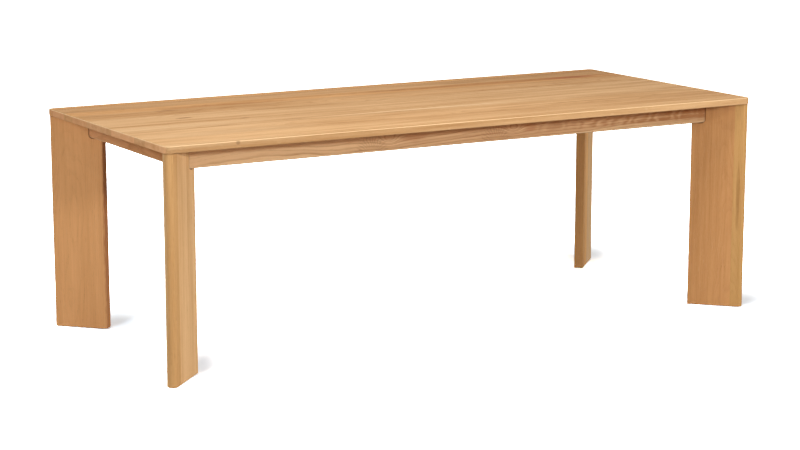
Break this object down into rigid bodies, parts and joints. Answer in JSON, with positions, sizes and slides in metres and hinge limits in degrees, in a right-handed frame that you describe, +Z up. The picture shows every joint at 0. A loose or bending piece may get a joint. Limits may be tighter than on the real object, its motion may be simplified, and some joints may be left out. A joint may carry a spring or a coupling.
{
  "type": "dining table",
  "caption": "Rectangular oak dining table: edge-glued top on upright plank legs set on the corner diagonals, joined by a set-back apron frame.",
  "frame": {"origin": "on the floor under the middle of the table top", "axes": "+X along the table's length to the right, +Y to the back, +Z up"},
  "size_m": [2.2, 0.96, 0.74],
  "materials": {
    "oak_top": "matt oiled",
    "oak_legs": "matt oiled",
    "oak_aprons": "matt oiled",
    "oak_rails": "planed",
    "beech": "planed",
    "zinc_plate": "zinc plated",
    "zinc_fasteners": "zinc plated",
    "felt": "felted"
  },
  "bodies": {
    "root": {"top_stave_01": "oak_top", "top_stave_02": "oak_top", "top_stave_03": "oak_top", "top_stave_04": "oak_top", "top_stave_05": "oak_top", "top_stave_06": "oak_top", "top_stave_07": "oak_top", "top_stave_08": "oak_top", "top_stave_09": "oak_top", "top_stave_10": "oak_top", "top_stave_11": "oak_top", "leg_fl_outer_stave": "oak_legs", "leg_fl_middle_stave": "oak_legs", "leg_fl_inner_stave": "oak_legs", "leg_fr_outer_stave": "oak_legs", "leg_fr_middle_stave": "oak_legs", "leg_fr_inner_stave": "oak_legs", "leg_rl_outer_stave": "oak_legs", "leg_rl_middle_stave": "oak_legs", "leg_rl_inner_stave": "oak_legs", "leg_rr_outer_stave": "oak_legs", "leg_rr_middle_stave": "oak_legs", "leg_rr_inner_stave": "oak_legs", "front_apron": "oak_aprons", "rear_apron": "oak_aprons", "left_apron": "oak_aprons", "right_apron": "oak_aprons", "cross_rail_left": "oak_rails", "cross_rail_right": "oak_rails", "corner_bracket_fl": "zinc_plate", "corner_bracket_fr": "zinc_plate", "corner_bracket_rl": "zinc_plate", "corner_bracket_rr": "zinc_plate", "glides_fl": "felt", "glides_fr": "felt", "glides_rl": "felt", "glides_rr": "felt", "rail_dowels": "beech", "top_clips": "zinc_plate", "hanger_bolts": "zinc_fasteners", "bolt_washers": "zinc_fasteners", "bolt_nuts": "zinc_fasteners", "bracket_screws": "zinc_fasteners", "clip_screws": "zinc_fasteners", "rail_screws": "zinc_fasteners"}
  },
  "joints": []
}
